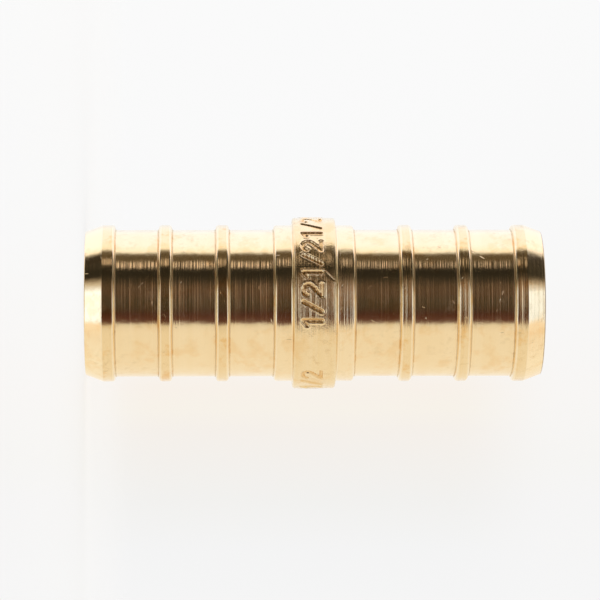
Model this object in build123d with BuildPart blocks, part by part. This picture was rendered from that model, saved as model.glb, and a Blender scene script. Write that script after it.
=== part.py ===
"""Straight crimp coupling for half-inch PEX tube, turned from one length of brass bar.

The two inserts are alike and point away from each other. Going outward from the central band, each
has a collar, a run of ribs that bite the tube, and an end rib that runs into a tapered nose. A tube
is pushed over the insert until it meets the band, and a crimp ring outside it closes it on the ribs.

The coupling stands on one end: its axis is Z, and z = 0 is the lower end face. Millimetres.
"""

import os
from math import radians, tan

from build123d import *

# ---- Driving dimensions --------------------------------------------------------------------------

insert_length = 15.95  # from the side face of the band to the end face

rib_diameter = 12.1  # crest of every rib, a light push in the tube
rib_height = 0.37  # from the floor of a groove to a crest
rib_crest = 0.9  # length of a crest, before its edges are rounded
rib_pitch = 4.38
rib_count = 3  # on each insert, with the end rib
flank_angle = 13.0  # slope of a flank, away from square to the axis
crest_radius = 0.2  # round along both edges of a crest
foot_radius = 0.08  # where a flank meets the root, left by the nose of the turning tool

wall_thickness = 1.23  # from the straight waterway to the floor of a groove
bore_mouth_chamfer = 0.2

nose_drop = 0.14  # how far the small end of the taper lies under the root
nose_length = 1.35  # of the taper that leads the tube on
nose_radius = 0.12  # round on the rim of the end face

collar_drop = 0.02  # how far the collar lies under the crests
collar_length = 1.38  # along its crest, from the side face of the band

band_height = 0.55  # above the crests: it stops the tube, and carries the marking
band_width = 3.3
band_edge_radius = 0.2
band_corner_radius = 0.2  # inside corner between the band and a collar

# ---- Sizes that follow ---------------------------------------------------------------------------

overall_length = band_width + 2 * insert_length
half_length = overall_length / 2
half_band = band_width / 2

rib_radius = rib_diameter / 2
root_radius = rib_radius - rib_height
bore_radius = root_radius - wall_thickness
nose_end_radius = root_radius - nose_drop
collar_radius = rib_radius - collar_drop
band_radius = rib_radius + band_height

flank_run = tan(radians(flank_angle))  # along the axis, for each unit of height
rib_flank = rib_height * flank_run
collar_flank = (collar_radius - root_radius) * flank_run

collar_end = half_band + collar_length
nose_start = half_length - nose_length  # where the end rib's crest runs into the taper
end_rib_start = nose_start - rib_crest
end_rib_foot = end_rib_start - rib_flank
end_rib_centre = nose_start - rib_crest / 2
rib_centres = [end_rib_centre - i * rib_pitch for i in range(1, rib_count)]

same_radius = 1e-4  # two radii closer than this are one


def at_radius(radius):
    """Picks the corners of a half section that lie at this distance from the axis."""
    return lambda corner: abs(corner.X - radius) < same_radius


# ---- The coupling --------------------------------------------------------------------------------

# The half section is drawn in a plane through the axis: X is the distance from the axis, and Y the
# height above the middle of the band. Only the upper insert is drawn, and the lower one mirrors it.
section_plane = Plane((0, 0, half_length), x_dir=(1, 0, 0), z_dir=(0, -1, 0))

with BuildPart() as coupling:
    with BuildSketch(section_plane) as half_section:
        # Root of the insert, as far as the end rib
        Rectangle(root_radius, end_rib_foot, align=(Align.MIN, Align.MIN))

        # Ribs, with a sloping flank on both sides
        with Locations(*[(root_radius, height) for height in rib_centres]):
            Trapezoid(
                width=rib_crest + 2 * rib_flank,
                height=rib_height,
                left_side_angle=90 - flank_angle,
                rotation=-90,
                align=(Align.CENTER, Align.MIN),
            )

        # End rib and the tapered nose beyond it
        with BuildLine():
            Polyline(
                (0, end_rib_foot),
                (root_radius, end_rib_foot),
                (rib_radius, end_rib_start),
                (rib_radius, nose_start),
                (nose_end_radius, half_length),
                (0, half_length),
                close=True,
            )
        make_face()

        # Collar, square against the band and sloping down to the first groove
        with BuildLine():
            Polyline(
                (0, 0),
                (collar_radius, 0),
                (collar_radius, collar_end),
                (root_radius, collar_end + collar_flank),
                (0, collar_end + collar_flank),
                close=True,
            )
        make_face()

        # Band
        Rectangle(band_radius, half_band, align=(Align.MIN, Align.MIN))

        # Corners that the tool rounds
        fillet(half_section.vertices().filter_by(at_radius(root_radius)), foot_radius)
        fillet(half_section.vertices().filter_by(at_radius(rib_radius)), crest_radius)
        collar_corners = half_section.vertices().filter_by(at_radius(collar_radius)).sort_by(Axis.Y)
        fillet(collar_corners[0], band_corner_radius)
        fillet(collar_corners[-1], crest_radius)
        band_corners = half_section.vertices().filter_by(at_radius(band_radius)).sort_by(Axis.Y)
        fillet(band_corners[-1], band_edge_radius)
        rim_corner = half_section.vertices().filter_by(at_radius(nose_end_radius))
        fillet(rim_corner, nose_radius)

        mirror(about=Plane.XZ)
    revolve(axis=Axis.Z)

    # Waterway
    with Locations((0, 0, overall_length)):
        Hole(bore_radius)
    waterway = coupling.faces().filter_by(GeomType.CYLINDER).sort_by(lambda face: face.radius)[0]
    chamfer(waterway.edges().filter_by(GeomType.CIRCLE), bore_mouth_chamfer)

coupling.part.label = "coupling"

# ---- Output --------------------------------------------------------------------------------------

os.makedirs("parts", exist_ok=True)
export_step(coupling.part, "parts/coupling.step")
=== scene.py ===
"""Looks of the straight brass crimp coupling.

The coupling stands on its lower end, its axis along Z. The camera looks at it level, from -Y, and is
turned on its side, so that the upper end lies to the right. Metres, except where a name or a
comment says millimetres.
"""

import math

import bpy
import numpy as np
from mathutils import Matrix, Vector


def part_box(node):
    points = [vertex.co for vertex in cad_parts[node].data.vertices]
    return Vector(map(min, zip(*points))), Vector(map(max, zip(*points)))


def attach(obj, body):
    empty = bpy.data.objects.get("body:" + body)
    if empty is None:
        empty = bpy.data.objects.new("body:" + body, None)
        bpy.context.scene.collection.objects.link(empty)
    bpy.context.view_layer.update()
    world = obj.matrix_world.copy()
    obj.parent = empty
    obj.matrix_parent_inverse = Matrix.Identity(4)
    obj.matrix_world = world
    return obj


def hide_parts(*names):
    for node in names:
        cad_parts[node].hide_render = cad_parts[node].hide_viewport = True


MM = 0.001

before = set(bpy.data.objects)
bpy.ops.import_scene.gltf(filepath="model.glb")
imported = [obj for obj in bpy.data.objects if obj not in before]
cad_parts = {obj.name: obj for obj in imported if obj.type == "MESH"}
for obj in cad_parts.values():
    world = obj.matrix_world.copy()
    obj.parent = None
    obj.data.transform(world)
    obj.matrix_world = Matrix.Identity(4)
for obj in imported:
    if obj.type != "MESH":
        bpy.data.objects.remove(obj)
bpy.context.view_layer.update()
foot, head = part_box("coupling")

# ---- Sizes of the coupling, in millimetres -------------------------------------------------------

half_length = (head[2] - foot[2]) / 2 / MM
middle = (head[2] + foot[2]) / 2 / MM  # height of the middle of the band

rib_radius = 6.05
rib_height = 0.37
rib_crest = 0.9
rib_pitch = 4.38
rib_count = 3
flank_angle = 13.0
crest_radius = 0.2
foot_radius = 0.08

wall_thickness = 1.23
bore_mouth = 0.2

nose_drop = 0.14
nose_length = 1.35
nose_radius = 0.12

collar_drop = 0.02
collar_length = 1.38

band_height = 0.55
band_width = 3.3
band_edge_radius = 0.2
band_corner_radius = 0.2

root_radius = rib_radius - rib_height
bore_radius = root_radius - wall_thickness
nose_end_radius = root_radius - nose_drop
collar_radius = rib_radius - collar_drop
band_radius = rib_radius + band_height
half_band = band_width / 2

flank_run = math.tan(math.radians(flank_angle))
rib_flank = rib_height * flank_run
collar_flank = (collar_radius - root_radius) * flank_run
collar_end = half_band + collar_length
nose_start = half_length - nose_length

# Facets
columns = 256  # round the inserts
band_split = 4  # columns of the band for each column of an insert
band_rows = 48  # across the face of the band
band_edge_steps = 4  # in the round of each of its edges
smooth_limit = math.radians(40)  # edges that turn further than this stay sharp

# ---- Node helpers --------------------------------------------------------------------------------


class NodeBench:
    """Adds nodes to a tree and links them, so that a material reads as a list of steps."""

    def __init__(self, tree):
        self.tree = tree

    def add(self, kind, inputs=(), **settings):
        node = self.tree.nodes.new(kind)
        for name, value in settings.items():
            setattr(node, name, value)
        for name, value in dict(inputs).items():
            self.feed(node.inputs[name], value)
        return node

    def feed(self, socket, value):
        if isinstance(value, bpy.types.NodeSocket):
            self.tree.links.new(value, socket)
        else:
            socket.default_value = value

    def math(self, operation, first, second=None, clamp=False):
        node = self.add("ShaderNodeMath", operation=operation, use_clamp=clamp)
        self.feed(node.inputs[0], first)
        if second is not None:
            self.feed(node.inputs[1], second)
        return node.outputs[0]

    def remap(self, value, low, high, to_low=0.0, to_high=1.0, smooth=False):
        node = self.add(
            "ShaderNodeMapRange",
            {"Value": value, "From Min": low, "From Max": high, "To Min": to_low, "To Max": to_high},
            interpolation_type="SMOOTHSTEP" if smooth else "LINEAR",
        )
        return node.outputs["Result"]

    def blend(self, factor, first, second, mode="MIX"):
        node = self.add("ShaderNodeMix", data_type="RGBA", blend_type=mode)
        self.feed(node.inputs["Factor"], factor)
        self.feed(node.inputs["A"], first)
        self.feed(node.inputs["B"], second)
        return node.outputs["Result"]

    def ramp(self, value, stops, interpolation="LINEAR"):
        """stops are (place, colour), with the place in the value's own units."""
        low, high = stops[0][0], stops[-1][0]
        node = self.add("ShaderNodeValToRGB")
        node.color_ramp.interpolation = interpolation
        elements = node.color_ramp.elements
        while len(elements) < len(stops):
            elements.new(1.0)
        for element, (place, colour) in zip(elements, stops):
            element.position = (place - low) / (high - low)
            element.color = (*colour, 1.0)
        self.feed(node.inputs["Fac"], self.remap(value, low, high))
        return node.outputs["Color"]


def new_group(name, inputs, outputs):
    """A shader node group with these sockets, and a bench to build it on."""
    group = bpy.data.node_groups.new(name, "ShaderNodeTree")
    for socket_name, socket_kind, value in inputs:
        socket = group.interface.new_socket(socket_name, in_out="INPUT", socket_type=socket_kind)
        if value is not None:
            socket.default_value = value
    for socket_name, socket_kind in outputs:
        group.interface.new_socket(socket_name, in_out="OUTPUT", socket_type=socket_kind)
    bench = NodeBench(group)
    entry = bench.add("NodeGroupInput")
    leave = bench.add("NodeGroupOutput")
    return group, bench, entry.outputs, leave.inputs


# ---- Effects that the finishes share -------------------------------------------------------------


def make_tool_rings():
    """Fine rings round the axis, left by the turning tool, as a height from 0 to 1."""
    group, bench, given, out = new_group(
        "tool rings",
        [
            ("Rings per mm", "NodeSocketFloat", 4.0),
            ("Unevenness", "NodeSocketFloat", 0.5),
        ],
        [("Height", "NodeSocketFloat"), ("Streak", "NodeSocketFloat")],
    )
    place = bench.add("ShaderNodeTexCoord").outputs["Object"]
    parts = bench.add("ShaderNodeSeparateXYZ", {"Vector": place}).outputs
    along = bench.math("MULTIPLY", parts["Z"], bench.math("MULTIPLY", given["Rings per mm"], 1 / MM))
    drift = 0.03 / MM  # the rings change slowly on the way round
    broad_scale = 0.17  # broad streaks, against the fine rings
    stretched = bench.add(
        "ShaderNodeCombineXYZ",
        {
            "X": bench.math("MULTIPLY", parts["X"], drift),
            "Y": bench.math("MULTIPLY", parts["Y"], drift),
            "Z": along,
        },
    ).outputs["Vector"]
    fine = bench.add(
        "ShaderNodeTexNoise", {"Vector": stretched, "Scale": 1.0, "Detail": 2.0, "Roughness": 0.6}
    ).outputs["Fac"]
    broad = bench.add(
        "ShaderNodeTexNoise", {"Vector": stretched, "Scale": broad_scale, "Detail": 1.0, "Roughness": 0.5}
    ).outputs["Fac"]
    uneven = bench.math("MULTIPLY", broad, given["Unevenness"])
    bench.feed(out["Height"], bench.math("ADD", fine, uneven))
    bench.feed(out["Streak"], bench.remap(broad, 0.35, 0.65, smooth=True))
    return group


def make_handling_marks():
    """Marks of the parts bin: a height to take away, a mask of dull specks and one of tarnish."""
    group, bench, given, out = new_group(
        "handling marks",
        [
            ("Dents", "NodeSocketFloat", 0.5),
            ("Specks", "NodeSocketFloat", 0.5),
        ],
        [
            ("Height", "NodeSocketFloat"),
            ("Speck", "NodeSocketFloat"),
            ("Tarnish", "NodeSocketFloat"),
        ],
    )
    place = bench.add("ShaderNodeTexCoord").outputs["Object"]

    def noise(per_mm, detail, roughness):
        return bench.add(
            "ShaderNodeTexNoise",
            {"Vector": place, "Scale": per_mm / MM, "Detail": detail, "Roughness": roughness},
        ).outputs["Fac"]

    # Dents: a small bowl in the middle of a few cells
    dent_cells = bench.add(
        "ShaderNodeTexVoronoi", {"Vector": place, "Scale": 0.45 / MM, "Randomness": 1.0}, feature="F1"
    )
    cell_colour = bench.add("ShaderNodeSeparateColor", {"Color": dent_cells.outputs["Color"]})
    bare_share = 0.86  # of the cells, which have no dent
    chosen = bench.math("GREATER_THAN", cell_colour.outputs["Red"], bare_share)
    dent_size = 0.09  # of a cell
    bowl = bench.remap(dent_cells.outputs["Distance"], 0.0, dent_size, 1.0, 0.0, smooth=True)
    dent = bench.math("MULTIPLY", bench.math("MULTIPLY", bowl, chosen), given["Dents"])

    # Dull specks, which come in patches
    grime = bench.remap(noise(1.5, 3.0, 0.7), 0.5, 0.72, smooth=True)
    patches = bench.remap(noise(0.35, 1.0, 0.5), 0.42, 0.62, smooth=True)
    speck = bench.math("MULTIPLY", grime, patches)

    # Short scratches: pieces of the thin lines between large cells
    line_cells = bench.add(
        "ShaderNodeTexVoronoi", {"Vector": place, "Scale": 0.3 / MM}, feature="DISTANCE_TO_EDGE"
    )
    line_width = 0.007  # of a cell
    line = bench.remap(line_cells.outputs["Distance"], 0.0, line_width, 1.0, 0.0)
    scrape = bench.math("MULTIPLY", line, bench.remap(noise(1.5, 1.0, 0.5), 0.6, 0.66))

    scrape_depth = 0.24  # of the depth of a dent
    worn = bench.math("ADD", dent, bench.math("MULTIPLY", scrape, scrape_depth))
    bench.feed(out["Height"], bench.math("MULTIPLY", worn, -1.0))
    bench.feed(out["Speck"], bench.math("MULTIPLY", speck, given["Specks"]))
    bench.feed(out["Tarnish"], bench.remap(noise(0.6, 4.0, 0.62), 0.49, 0.68, smooth=True))
    return group


def make_waviness():
    """A slow unevenness of the turned surface, as a height from 0 to 1."""
    group, bench, given, out = new_group(
        "waviness", [("Waves per mm", "NodeSocketFloat", 0.6)], [("Height", "NodeSocketFloat")]
    )
    place = bench.add("ShaderNodeTexCoord").outputs["Object"]
    waves = bench.add(
        "ShaderNodeTexNoise",
        {
            "Vector": place,
            "Scale": bench.math("MULTIPLY", given["Waves per mm"], 1 / MM),
            "Detail": 2.0,
            "Roughness": 0.45,
        },
    ).outputs["Fac"]
    bench.feed(out["Height"], waves)
    return group


TOOL_RINGS = make_tool_rings()
WAVINESS = make_waviness()
HANDLING_MARKS = make_handling_marks()

# ---- Finishes ------------------------------------------------------------------------------------


MICROMETRE = MM / 1000

unevenness = 0.5  # share of the broad streaks in the depth of the rings
waves_per_mm = 0.6
dent_depth = 30.0  # micrometres
# The strokes of the mark are darkened: painted shade in their grooves
stroke_painted_shade = 0.65  # how dark the strokes of the mark are
speck_roughness = 0.2  # what a full speck adds
anisotropy = 0.8
across_rings = 0.25  # of a turn: the shine is drawn out across the rings

# Colours of the dull places, as shares of the colour of clean metal. In the strokes of the mark it is
# painted shade.
SPECK_SHADE = (0.8, 0.72, 0.6)
TARNISH_SHADE = (0.92, 0.73, 0.48)
STROKE_PAINTED_SHADE = (0.88, 0.68, 0.42)


def shaded(colour, shade):
    """A colour for a socket: the colour of clean metal, made darker."""
    return (*(share * part for share, part in zip(shade, colour)), 1)


def brass(
    name,
    colour,
    streak_colour,
    roughness,
    rings_per_mm,
    ring_depth,
    dents=0.5,
    specks=0.5,
    wave_depth=25.0,
    mottle_per_mm=4.5,
    mottle_depth=1.5,
    tarnish=0.35,
):
    """A brass finish. The depths are in micrometres."""
    material = bpy.data.materials.new(name)
    material.use_nodes = True
    material.node_tree.nodes.clear()
    bench = NodeBench(material.node_tree)

    rings = bench.add(
        "ShaderNodeGroup", node_tree=TOOL_RINGS,
        inputs={"Rings per mm": rings_per_mm, "Unevenness": unevenness},
    )
    marks = bench.add(
        "ShaderNodeGroup", node_tree=HANDLING_MARKS, inputs={"Dents": dents, "Specks": specks}
    )

    tinted = bench.blend(rings.outputs["Streak"], (*colour, 1), (*streak_colour, 1))
    tarnish_share = bench.math("MULTIPLY", marks.outputs["Tarnish"], tarnish)
    tarnished = bench.blend(tarnish_share, tinted, shaded(colour, TARNISH_SHADE))
    specked = bench.blend(marks.outputs["Speck"], tarnished, shaded(colour, SPECK_SHADE))
    # Painted shade in the strokes of the mark, by how far each place is in a stroke
    stroke = bench.add("ShaderNodeAttribute", attribute_name="stroke").outputs["Fac"]
    stroke_shade_share = bench.math("MULTIPLY", stroke, stroke_painted_shade)
    finished = bench.blend(stroke_shade_share, specked, shaded(colour, STROKE_PAINTED_SHADE))

    waves = bench.add(
        "ShaderNodeGroup", node_tree=WAVINESS, inputs={"Waves per mm": waves_per_mm}
    )
    mottle = bench.add(
        "ShaderNodeGroup", node_tree=WAVINESS, inputs={"Waves per mm": mottle_per_mm}
    )
    relief = [
        (waves, wave_depth),
        (rings, ring_depth),
        (marks, dent_depth),
        (mottle, mottle_depth),
    ]
    normal = None
    for layer, depth in relief:
        inputs = {
            "Strength": 1.0,
            "Distance": depth * MICROMETRE,
            "Height": layer.outputs["Height"],
        }
        if normal is not None:
            inputs["Normal"] = normal
        normal = bench.add("ShaderNodeBump", inputs).outputs["Normal"]

    dullness = bench.math("MULTIPLY", marks.outputs["Speck"], speck_roughness)
    shader = bench.add(
        "ShaderNodeBsdfPrincipled",
        {
            "Base Color": finished,
            "Metallic": 1.0,
            "Roughness": bench.math("ADD", roughness, dullness),
            "Normal": normal,
        },
    )
    shader.inputs["Anisotropic"].default_value = anisotropy
    shader.inputs["Anisotropic Rotation"].default_value = across_rings
    round_axis = bench.add("ShaderNodeTangent", direction_type="RADIAL", axis="Z")
    bench.feed(shader.inputs["Tangent"], round_axis.outputs["Tangent"])
    bench.add("ShaderNodeOutputMaterial", {"Surface": shader.outputs["BSDF"]})
    return material


# The two inserts were turned in two settings, so the tool left different rings on them.
pale = (0.94, 0.755, 0.455), (0.93, 0.735, 0.43)
handled = (0.905, 0.7, 0.385), (0.885, 0.67, 0.355)

FINISHES = {
    "lower groove": brass(
        "turned brass, lower grooves", *pale,
        roughness=0.17, rings_per_mm=5.0, ring_depth=36.0, specks=0.35,
    ),
    "upper groove": brass(
        "turned brass, upper grooves", *pale,
        roughness=0.17, rings_per_mm=6.0, ring_depth=22.0, wave_depth=18.0,
        specks=0.35,
    ),
    "lower collar": brass(
        "turned brass, lower collar", *pale,
        roughness=0.18, rings_per_mm=5.0, ring_depth=24.0, specks=0.4,
    ),
    "upper collar": brass(
        "turned brass, upper collar", *pale,
        roughness=0.18, rings_per_mm=6.5, ring_depth=75.0, specks=0.4,
    ),
    "lower crest": brass(
        "turned brass, lower crests", *handled,
        roughness=0.18, rings_per_mm=5.0, ring_depth=12.0, dents=0.8, specks=0.6, tarnish=0.9,
    ),
    "upper crest": brass(
        "turned brass, upper crests", *handled,
        roughness=0.18, rings_per_mm=6.5, ring_depth=75.0, dents=0.8, specks=0.6, tarnish=0.8,
    ),
    "lower nose": brass(
        "turned brass, lower nose", (0.985, 0.785, 0.46), (0.975, 0.775, 0.45),
        roughness=0.14, rings_per_mm=5.0, ring_depth=8.0, wave_depth=18.0, specks=0.35,
    ),
    "upper nose": brass(
        "turned brass, upper nose", (0.985, 0.775, 0.45), (0.975, 0.765, 0.44),
        roughness=0.19, rings_per_mm=6.5, ring_depth=26.0, wave_depth=18.0, specks=0.5,
    ),
    "lower rim": brass(
        "worn rim, lower end", (0.97, 0.77, 0.45), (0.95, 0.75, 0.43),
        roughness=0.2, rings_per_mm=5.0, ring_depth=8.0, specks=0.5,
    ),
    # The upper rim is much darker than the nose: a painted dark reflection along the end
    "upper rim": brass(
        "rim with painted dark reflection, upper end", (0.6, 0.47, 0.29), (0.5, 0.38, 0.23),
        roughness=0.35, rings_per_mm=6.5, ring_depth=26.0, specks=0.8, tarnish=0.9,
    ),
    "band": brass(
        "rolled brass, band", (0.905, 0.705, 0.395), (0.885, 0.68, 0.365),
        roughness=0.22, rings_per_mm=6.0, ring_depth=85.0, mottle_per_mm=8.0, mottle_depth=8.0,
        dents=0.6, specks=0.5,
    ),
    # The feet of the ribs: rougher, and darker with full tarnish, which paints the shade in these hollows
    "foot": brass(
        "painted shade in the feet of the ribs", (0.92, 0.73, 0.43), (0.88, 0.68, 0.38),
        roughness=0.5, rings_per_mm=5.0, ring_depth=20.0, specks=0.8, tarnish=1.0,
    ),
    "bore": brass(
        "drilled brass, waterway", (0.86, 0.66, 0.36), (0.8, 0.6, 0.32),
        roughness=0.3, rings_per_mm=3.0, ring_depth=30.0, dents=0.0, specks=0.3,
    ),
}
FINISH_ORDER = list(FINISHES)

# ---- Outline of an insert ------------------------------------------------------------------------


def round_off(before, corner, after, radius, steps):
    """The arc that rounds a corner of an outline, as [(point, direction out of the metal)]."""
    back = (before - corner).normalized()
    on = (after - corner).normalized()
    half = back.angle(on) / 2
    centre = corner + (back + on).normalized() * radius / math.sin(half)
    first = corner + back * radius / math.tan(half) - centre
    last = corner + on * radius / math.tan(half) - centre
    sweep = math.pi - 2 * half
    outward = 1 if (corner - before).cross(after - corner) > 0 else -1
    points = []
    for step in range(steps + 1):
        share = step / steps
        spoke = (
            first * math.sin((1 - share) * sweep) + last * math.sin(share * sweep)
        ) / math.sin(sweep)
        points.append((centre + spoke, tuple(spoke.normalized() * outward)))
    return points


def insert_outline():
    """The upper insert as [(point, finish, outward)], from the side of the band to the bore.

    A point is (radius, height above the middle of the band) in millimetres. The finish is that of
    the stretch that ends at the point. outward is the direction out of the metal, (radial, up), on a
    round, and None at a sharp corner. The rounds along a crest are as clean as the grooves, and the
    feet of the ribs get a darker, duller finish, which paints the shade in them.
    """
    # radius, height, rounding, steps of the rounding, finish of the stretch up to it and of its round
    corners = [
        (collar_radius, half_band, band_corner_radius, 4, "groove", "groove"),
        (collar_radius, collar_end, crest_radius, 5, "collar", "groove"),
        (root_radius, collar_end + collar_flank, foot_radius, 2, "groove", "foot"),
    ]
    for index in range(rib_count - 1, -1, -1):
        centre = nose_start - rib_crest / 2 - index * rib_pitch
        low, high = centre - rib_crest / 2, centre + rib_crest / 2
        corners += [
            (root_radius, low - rib_flank, foot_radius, 2, "groove", "foot"),
            (rib_radius, low, crest_radius, 5, "groove", "groove"),
            (rib_radius, high, crest_radius, 5, "crest", "groove"),
        ]
        if index > 0:
            corners.append((root_radius, high + rib_flank, foot_radius, 2, "groove", "foot"))
    corners += [
        (nose_end_radius, half_length, nose_radius, 4, "nose", "rim"),
        (bore_radius + bore_mouth, half_length, 0, 0, "nose", "nose"),
        (bore_radius, half_length - bore_mouth, 0, 0, "bore", "bore"),
        (bore_radius, 0, 0, 0, "bore", "bore"),
    ]

    places = [Vector(corner[:2]) for corner in corners]
    start = Vector((band_radius - band_edge_radius, half_band))
    outline = []
    for index, (_, _, rounding, steps, finish, round_finish) in enumerate(corners):
        if rounding:
            before = places[index - 1] if index else start
            arc = round_off(before, places[index], places[index + 1], rounding, steps)
            outline.append((arc[0][0], finish, arc[0][1]))
            outline += [(point, round_finish, outward) for point, outward in arc[1:]]
        else:
            outline.append((places[index], finish, None))
    return outline


# ---- Size mark rolled into the band --------------------------------------------------------------

# The nominal size, one half, runs round the band again and again. Its tops are toward the lower end.
# Millimetres.
numeral_height = 1.4
numeral_width = 0.9
numeral_pitch = 1.2
marks_round = 11  # places for the mark; the one where the roll ran out stays bare
mark_start = math.radians(-16.0)  # angle from -Y toward -X
mark_middle = -0.22  # height of the middle of the mark above the middle of the band
groove_floor = 0.05  # half width of the floor of a stroke
groove_half = 0.2  # half width at the surface
groove_depth = 0.11
lip_height = 0.025  # metal that the roll pushed up beside a stroke
lip_width = 0.06
mark_fade = 0.1  # the mark fades out over this much, up to the rounded edges of the band
scratch = [(2.5, 0.7), (1.76, 1.4)]  # way round from -Y toward -X, and height, of its two ends
scratch_floor = 0.01  # half width of its floor
scratch_half = 0.09  # half width at the surface
scratch_depth = 0.04


def numeral_strokes():
    """The three signs of the mark as lists of points, each sign from its lower left corner."""
    top_of_two = [
        (
            numeral_width * (0.5 + 0.48 * math.cos(math.radians(turn))),
            numeral_height * (0.72 + 0.28 * math.sin(math.radians(turn))),
        )
        for turn in range(165, -46, -30)
    ]
    one = [
        (0.15 * numeral_width, 0.8 * numeral_height),
        (0.55 * numeral_width, numeral_height),
        (0.55 * numeral_width, 0),
    ]
    stroke = [(0, 0), (0.85 * numeral_width, numeral_height)]
    two = top_of_two + [(0, 0), (numeral_width, 0)]
    return [one, stroke, two]


def distance_to_stroke(across, up, points):
    """How far each place is from a run of straight lines."""
    nearest = np.full(across.shape, np.inf)
    for (x0, y0), (x1, y1) in zip(points[:-1], points[1:]):
        run_x, run_y = x1 - x0, y1 - y0
        share = ((across - x0) * run_x + (up - y0) * run_y) / (run_x**2 + run_y**2)
        share = np.clip(share, 0, 1)
        away = np.hypot(across - x0 - share * run_x, up - y0 - share * run_y)
        nearest = np.minimum(nearest, away)
    return nearest


def smooth_step(values, low, high):
    share = np.clip((values - low) / (high - low), 0, 1)
    return share * share * (3 - 2 * share)


def mark_relief(turn, height):
    """Height of the band's face above its cylinder, and how far each place is in a stroke.

    turn is the angle from -Y toward -X.
    """
    mark_pitch = 2 * math.pi / marks_round
    up = mark_middle + numeral_height / 2 - height  # the tops point down
    nearest = np.full(turn.shape, np.inf)
    for place in range(marks_round - 1):
        begin = mark_start + place * mark_pitch
        along = (turn - begin + math.pi / 2) % (2 * math.pi) - math.pi / 2
        across = along * band_radius
        for index, points in enumerate(numeral_strokes()):
            offset = index * numeral_pitch
            nearest = np.minimum(nearest, distance_to_stroke(across - offset, up, points))
    scratched = distance_to_stroke(turn * band_radius, height, scratch)
    groove = 1 - smooth_step(nearest, groove_floor, groove_half)
    lip = np.exp(-(((nearest - groove_half - lip_width / 2) / lip_width) ** 2))
    face_half = half_band - band_edge_radius
    inside = 1 - smooth_step(np.abs(height), face_half - mark_fade, face_half)
    scratch_cut = scratch_depth * (1 - smooth_step(scratched, scratch_floor, scratch_half))
    return inside * (lip_height * lip - groove_depth * groove - scratch_cut), inside * groove


# ---- The coupling --------------------------------------------------------------------------------


def ring(radius, height, count):
    """Places round the axis. They start at +X and run to +Y."""
    turn = np.arange(count) * 2 * math.pi / count
    return np.stack(
        [radius * np.cos(turn), radius * np.sin(turn), np.broadcast_to(height, turn.shape)], axis=1
    )


def band_rings():
    """The band as [(places, how far each is in a stroke)], from its lower edge to its upper one."""
    count = columns * band_split
    face_half = half_band - band_edge_radius
    turn = np.arange(count) * 2 * math.pi / count
    from_front = np.arctan2(-np.cos(turn), -np.sin(turn))
    edge = []
    for step in range(band_edge_steps):
        lean = math.pi / 2 * step / band_edge_steps
        edge.append(
            (
                band_radius - band_edge_radius * (1 - math.sin(lean)),
                face_half + band_edge_radius * math.cos(lean),
            )
        )
    plain = np.zeros(count)
    rings = [(ring(radius, -height, count), plain) for radius, height in edge]
    for height in np.linspace(-face_half, face_half, band_rows + 1):
        relief, in_stroke = mark_relief(from_front, np.full(count, height))
        rings.append((ring(band_radius + relief, height, count), in_stroke))
    rings += [(ring(radius, height, count), plain) for radius, height in reversed(edge)]
    return rings


def faces_between(lower, upper, lower_count, upper_count):
    """Faces between two rings, whose first places have these numbers."""
    faces = []
    count = min(lower_count, upper_count)
    lower_step, upper_step = lower_count // count, upper_count // count
    for column in range(count):
        below = [
            lower + (column * lower_step + step) % lower_count for step in range(lower_step + 1)
        ]
        above = [
            upper + (column * upper_step + step) % upper_count for step in range(upper_step + 1)
        ]
        faces.append(below + above[::-1])
    return faces


def own_finish(side, finish):
    """The finish of a stretch on the lower or the upper insert."""
    return finish if finish in FINISHES else f"{side} {finish}"


def strip_normals(rings):
    """For each strip, its normal (radial, up) along its lower and its upper ring.

    A strip lies between a ring and the one above it. The straight stretches of the outline stay flat
    and its rounds stay round. The strips of the band have none of their own (not a number).
    """
    normals = np.full((len(rings), 2, 2), np.nan)
    for index, (places, finish, outward) in enumerate(rings):
        above, above_finish, above_outward = rings[(index + 1) % len(rings)]
        run_out = np.hypot(*above[0][:2]) - np.hypot(*places[0][:2])
        run_up = above[0][2] - places[0][2]
        flat = np.array([run_up, -run_out]) / np.hypot(run_up, run_out)
        if finish != "band":
            normals[index, 0] = flat if outward is None else outward
        if above_finish != "band":
            normals[index, 1] = flat if above_outward is None else above_outward
    return normals


def set_normals(mesh, rings, strips):
    """Gives the corners of the inserts the normals of their outline.

    strips has the number of its strip for each face.
    """
    corner_vertices = np.empty(len(mesh.loops), dtype=np.int32)
    mesh.loops.foreach_get("vertex_index", corner_vertices)
    corner_normals = np.empty(3 * len(mesh.loops), dtype=np.float32)
    mesh.corner_normals.foreach_get("vector", corner_normals)
    corner_normals = corner_normals.reshape(-1, 3)
    face_sizes = np.empty(len(mesh.polygons), dtype=np.int32)
    mesh.polygons.foreach_get("loop_total", face_sizes)
    corner_strips = np.repeat(strips, face_sizes)
    ring_of_vertex = np.repeat(np.arange(len(rings)), [len(places) for places, _, _ in rings])
    on_upper_ring = (ring_of_vertex[corner_vertices] != corner_strips).astype(int)
    outward = strip_normals(rings)[corner_strips, on_upper_ring]
    places = np.concatenate([places for places, _, _ in rings])[corner_vertices]
    radial = places[:, :2] / np.hypot(places[:, 0], places[:, 1])[:, None]
    turned = np.column_stack([radial * outward[:, :1], outward[:, 1]])
    own = ~np.isnan(turned[:, 0])
    corner_normals[own] = turned[own]
    mesh.normals_split_custom_set(corner_normals.tolist())


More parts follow.
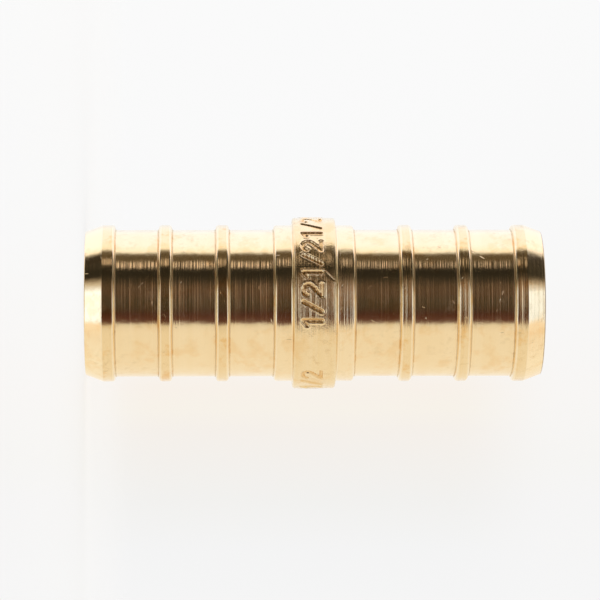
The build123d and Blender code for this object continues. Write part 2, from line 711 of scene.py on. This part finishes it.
def make_coupling():
    """One closed surface, turned from the outline, with the mark rolled into its band."""
    outline = insert_outline()
    upper, lower = [], []
    for point, finish, outward in outline[:-1]:
        mirrored = outward and (outward[0], -outward[1])
        upper.append((ring(point[0], point[1], columns), own_finish("upper", finish), outward))
        lower.append((ring(point[0], -point[1], columns), own_finish("lower", finish), mirrored))
    # Going up the outside: the finish of a stretch belongs to the ring above it
    rings = [(lower[-1][0], "bore", lower[-1][2])]
    for index in range(len(lower) - 2, -1, -1):
        rings.append((lower[index][0], lower[index + 1][1], lower[index][2]))
    band = band_rings()
    first_of_band = len(rings)
    rings += [(places, "band", None) for places, _ in band]
    rings += upper

    vertices, starts, strokes = [], [], []
    for index, (places, _, _) in enumerate(rings):
        starts.append(sum(len(block) for block in vertices))
        vertices.append(places)
        in_band = 0 <= index - first_of_band < len(band)
        strokes.append(band[index - first_of_band][1] if in_band else np.zeros(len(places)))
    vertices = np.concatenate(vertices)
    vertices[:, 2] += middle

    faces, slots, strips = [], [], []
    for index in range(len(rings)):
        following = (index + 1) % len(rings)
        strip = faces_between(
            starts[index], starts[following], len(rings[index][0]), len(rings[following][0])
        )
        faces += strip
        finish = "bore" if following == 0 else rings[following][1]
        slots += [FINISH_ORDER.index(finish)] * len(strip)
        strips += [index] * len(strip)

    mesh = bpy.data.meshes.new("turned coupling")
    mesh.from_pydata((vertices * MM).tolist(), [], faces)
    for material in FINISHES.values():
        mesh.materials.append(material)
    mesh.polygons.foreach_set("material_index", slots)
    mesh.attributes.new("stroke", "FLOAT", "POINT").data.foreach_set("value", np.concatenate(strokes))
    mesh.shade_smooth()
    mesh.set_sharp_from_angle(angle=smooth_limit)
    mesh.validate()
    set_normals(mesh, rings, strips)

    piece = bpy.data.objects.new("turned_coupling", mesh)
    bpy.context.scene.collection.objects.link(piece)
    return piece


coupling = make_coupling()
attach(coupling, "root")
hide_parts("coupling")

# ---- Floor ---------------------------------------------------------------------------------------

floor_radius = 0.2
floor_full = 0.05  # the disc is whole as far out as this
floor_gone = 0.18  # and has faded away here
floor_clear = 0.78  # how much of it the camera looks through
floor_glow = 0.24

def backdrop(bench, direction):
    """Backdrop by the direction of sight: paler above the coupling, with a painted tinted shadow under
    it.
    """
    parts = bench.add("ShaderNodeSeparateXYZ", {"Vector": direction}).outputs
    # Stops by how far the direction leans to +X, which is down as the camera lies. The plain tone is
    # darker toward the bottom, with a faint tinted dip just below the coupling.
    plain = bench.ramp(
        parts["X"],
        [
            (-0.075, (0.956, 0.956, 0.956)),
            (-0.02, (0.943, 0.943, 0.943)),
            (0.024, (0.939, 0.922, 0.905)),
            (0.04, (0.922, 0.913, 0.896)),
            (0.05, (0.92, 0.913, 0.91)),
            (0.075, (0.922, 0.922, 0.922)),
        ],
    )
    # These stops are a painted soft shadow under the coupling, tinted by a painted glow of light off the
    # brass
    painted_shadow = bench.ramp(
        parts["X"],
        [
            (-0.075, (0.956, 0.956, 0.956)),
            (0.0, (0.948, 0.948, 0.948)),
            (0.022, (0.939, 0.88, 0.815)),
            (0.0275, (0.93, 0.885, 0.815)),
            (0.0325, (0.913, 0.871, 0.823)),
            (0.04, (0.9, 0.873, 0.839)),
            (0.05, (0.888, 0.88, 0.863)),
            (0.0625, (0.905, 0.905, 0.905)),
            (0.075, (0.913, 0.913, 0.913)),
        ],
    )
    # The painted shadow is behind the coupling, and gives way to the plain tone beyond its ends
    aside = bench.math("ABSOLUTE", bench.math("SUBTRACT", parts["Z"], 0.025))
    share = bench.remap(aside, 0.035, 0.066, 1.0, 0.0, smooth=True)
    return bench.blend(share, plain, painted_shadow)


def make_floor():
    """A pale disc that fades into the background and keeps a soft shadow.

    The camera sees little of it, and the metal doesn't mirror it.
    """
    bpy.ops.mesh.primitive_circle_add(
        vertices=96, radius=floor_radius, fill_type="NGON", location=(0, 0, foot[2])
    )
    floor = bpy.context.object
    floor.name = "floor"
    material = bpy.data.materials.new("pale floor")
    material.use_nodes = True
    material.node_tree.nodes.clear()
    bench = NodeBench(material.node_tree)
    place = bench.add("ShaderNodeTexCoord").outputs["Object"]
    away = bench.add("ShaderNodeVectorMath", {0: place}, operation="LENGTH").outputs["Value"]
    fade = bench.remap(away, floor_full, floor_gone, 1.0, 0.0, smooth=True)
    paper = bench.add("ShaderNodeBsdfDiffuse", {"Color": (0.93, 0.93, 0.85, 1)})
    seen = bench.add("ShaderNodeLightPath").outputs["Is Camera Ray"]
    share = bench.math("SUBTRACT", 1.0, bench.math("MULTIPLY", seen, floor_clear))
    glow = bench.add(
        "ShaderNodeEmission",
        {"Color": (1.0, 0.99, 0.98, 1), "Strength": bench.math("MULTIPLY", seen, floor_glow)},
    )
    lit = bench.add("ShaderNodeAddShader")
    bench.feed(lit.inputs[0], paper.outputs[0])
    bench.feed(lit.inputs[1], glow.outputs[0])
    clear = bench.add("ShaderNodeBsdfTransparent")
    faded = bench.add("ShaderNodeMixShader", {"Fac": bench.math("MULTIPLY", fade, share)})
    bench.feed(faded.inputs[1], clear.outputs[0])
    bench.feed(faded.inputs[2], lit.outputs[0])
    bench.add("ShaderNodeOutputMaterial", {"Surface": faded.outputs[0]})
    floor.data.materials.append(material)
    floor.visible_glossy = False
    return floor


floor = make_floor()

# ---- Studio --------------------------------------------------------------------------------------

# The room round the coupling is a white tent with a dark opening on the side of the camera. Its
# colours run with the angle round the axis: 0 is toward -Y, 90 toward -X and -90 toward +X.
tent_white = (1.36, 1.31, 1.62)
end_white = (1.3, 1.56, 2.1)
edge_light = (0.96, 0.95, 0.92)
table_light = (0.93, 0.87, 0.8)
dark_room = (0.024, 0.021, 0.016)
overhead = (1.1, 1.08, 1.04)

card = (1.3, 1.06, 0.92)  # a pale card in the opening, low down
card_edge = (0.05, 0.04, 0.03)
card_whole = -0.07  # height of a direction, as a sine, below which it meets the card
card_gone = -0.02  # and above which it passes over it

# Lights by the angle round the axis: level with the coupling, then the ones met at steeper tilts
level_stops = [
    (-180, edge_light),
    (-150, (0.99, 0.97, 0.95)),
    (-110, (0.96, 0.91, 0.86)),
    (-60, table_light),
    (-46, table_light),
    (-33.5, (0.8, 0.75, 0.68)),
    (-30.5, (0.12, 0.05, 0.034)),
    (-23.0, (0.08, 0.026, 0.016)),
    (-16.0, (0.047, 0.016, 0.009)),
    (-9.0, (0.036, 0.024, 0.011)),
    (6.0, (0.03, 0.025, 0.011)),
    (14.0, (0.05, 0.03, 0.016)),
    (24.0, (0.052, 0.035, 0.019)),
    (33.0, (0.03, 0.025, 0.016)),
    (41.0, dark_room),
    (55.5, dark_room),
    (59.5, card),
    (66.0, card),
    (70.5, (0.12, 0.09, 0.055)),
    (82.0, (0.12, 0.09, 0.055)),
    (87.6, (1.22, 1.2, 1.22)),
    (104.0, tent_white),
    (143.0, (1.2, 1.27, 1.58)),
    (153.0, (1.05, 1.17, 1.42)),
    (159.0, (0.99, 1.085, 1.27)),
    (168.0, (0.98, 1.04, 1.144)),
    (180, edge_light),
]
near_stops = [
    (-180, edge_light),
    (-110, (0.98, 0.97, 0.98)),
    (-60, (0.96, 0.95, 0.97)),
    (-34, (0.94, 0.93, 0.95)),
    (-30, (0.19, 0.085, 0.055)),
    (-17, (0.19, 0.095, 0.065)),
    (-8, (0.29, 0.19, 0.14)),
    (2, (0.46, 0.31, 0.25)),
    (28, (0.52, 0.355, 0.285)),
    (37, (0.2, 0.15, 0.115)),
    (46, (0.04, 0.035, 0.025)),
    (56, (0.04, 0.035, 0.025)),
    (59, (0.06, 0.05, 0.038)),
    (68, (0.06, 0.05, 0.038)),
    (72, (0.045, 0.035, 0.025)),
    (85.5, (0.045, 0.035, 0.025)),
    (92, (1.22, 1.2, 1.22)),
    (104, tent_white),
    (143, (1.2, 1.27, 1.58)),
    (180, edge_light),
]
end_stops = [
    (-180, edge_light),
    (-100, (0.94, 0.87, 0.83)),
    (-60, (0.94, 0.84, 0.77)),
    (-38, (1.04, 0.93, 0.85)),
    (-31, end_white),
    (21, end_white),
    (27, (0.92, 0.98, 1.15)),
    (34, (0.66, 0.61, 0.57)),
    (41, (0.25, 0.21, 0.17)),
    (46, dark_room),
    (96, dark_room),
    (104, tent_white),
    (150, tent_white),
    (180, edge_light),
]
high_stops = [
    (-180, (0.9, 0.88, 0.85)),
    (-38, (0.9, 0.85, 0.8)),
    (-31, (0.56, 0.56, 0.6)),
    (34, (0.56, 0.56, 0.6)),
    (42, (0.12, 0.11, 0.09)),
    (90, (0.12, 0.11, 0.09)),
    (98, (0.95, 0.92, 0.9)),
    (160, (0.95, 0.92, 0.9)),
    (180, (0.9, 0.9, 0.9)),
]


def make_studio():
    """The light of the room, by direction, and the backdrop that the camera sees in its place."""
    world = bpy.data.worlds.new("studio")
    bpy.context.scene.world = world
    world.use_nodes = True
    world.node_tree.nodes.clear()
    bench = NodeBench(world.node_tree)
    toward = bench.add("ShaderNodeTexCoord").outputs["Generated"]
    parts = bench.add("ShaderNodeSeparateXYZ", {"Vector": toward}).outputs
    minus_x = bench.math("MULTIPLY", parts["X"], -1.0)
    minus_y = bench.math("MULTIPLY", parts["Y"], -1.0)
    turn = bench.math("DEGREES", bench.math("ARCTAN2", minus_x, minus_y))
    tilt = bench.math("DEGREES", bench.math("ARCSINE", bench.math("ABSOLUTE", parts["Z"])))

    facing_card = bench.ramp(turn, level_stops)
    past_card = bench.ramp(
        turn, [(place, card_edge if colour == card else colour) for place, colour in level_stops]
    )
    level = bench.blend(bench.remap(parts["Z"], card_whole, card_gone), facing_card, past_card)
    # Each light takes over from the one before it between two tilts, up and down alike
    room = level
    for first_tilt, last_tilt, colour in [
        (9.0, 22.0, bench.ramp(turn, near_stops)),
        (33.5, 39.0, bench.ramp(turn, end_stops)),
        (49.0, 57.0, bench.ramp(turn, high_stops)),
        (82.0, 88.0, (*overhead, 1)),
    ]:
        share = bench.remap(tilt, first_tilt, last_tilt, smooth=True)
        room = bench.blend(share, room, colour)

    seen = bench.add("ShaderNodeLightPath").outputs["Is Camera Ray"]
    shown = bench.blend(seen, room, backdrop(bench, toward))
    light = bench.add("ShaderNodeBackground", {"Color": shown, "Strength": 1.0})
    bench.add("ShaderNodeOutputWorld", {"Surface": light.outputs[0]})


make_studio()

# ---- Camera --------------------------------------------------------------------------------------

camera_distance = 0.310  # from the axis
camera_height = 0.0089  # above the floor
aim_height = 0.01658
aim_side = -0.000234  # toward -X
camera_roll = math.radians(-0.08)
sensor = 36.0  # width in millimetres
lens = 240.12  # millimetres

camera_data = bpy.data.cameras.new("camera")
camera_data.sensor_width = sensor
camera_data.lens = lens
camera_data.clip_start = 0.01
camera_data.clip_end = 10.0
camera = bpy.data.objects.new("camera", camera_data)
bpy.context.scene.collection.objects.link(camera)
camera.location = (aim_side, -camera_distance, camera_height)
aim = Vector((aim_side, 0, aim_height))
forward = (aim - Vector(camera.location)).normalized()
up = Vector((-1, 0, 0))
up = (up - forward * up.dot(forward)).normalized()
right = forward.cross(up)
camera.rotation_mode = "QUATERNION"
upright = Matrix((right, up, -forward)).transposed()
camera.rotation_quaternion = (upright @ Matrix.Rotation(camera_roll, 3, "Z")).to_quaternion()
bpy.context.scene.camera = camera

bpy.context.scene.view_settings.view_transform = "Standard"
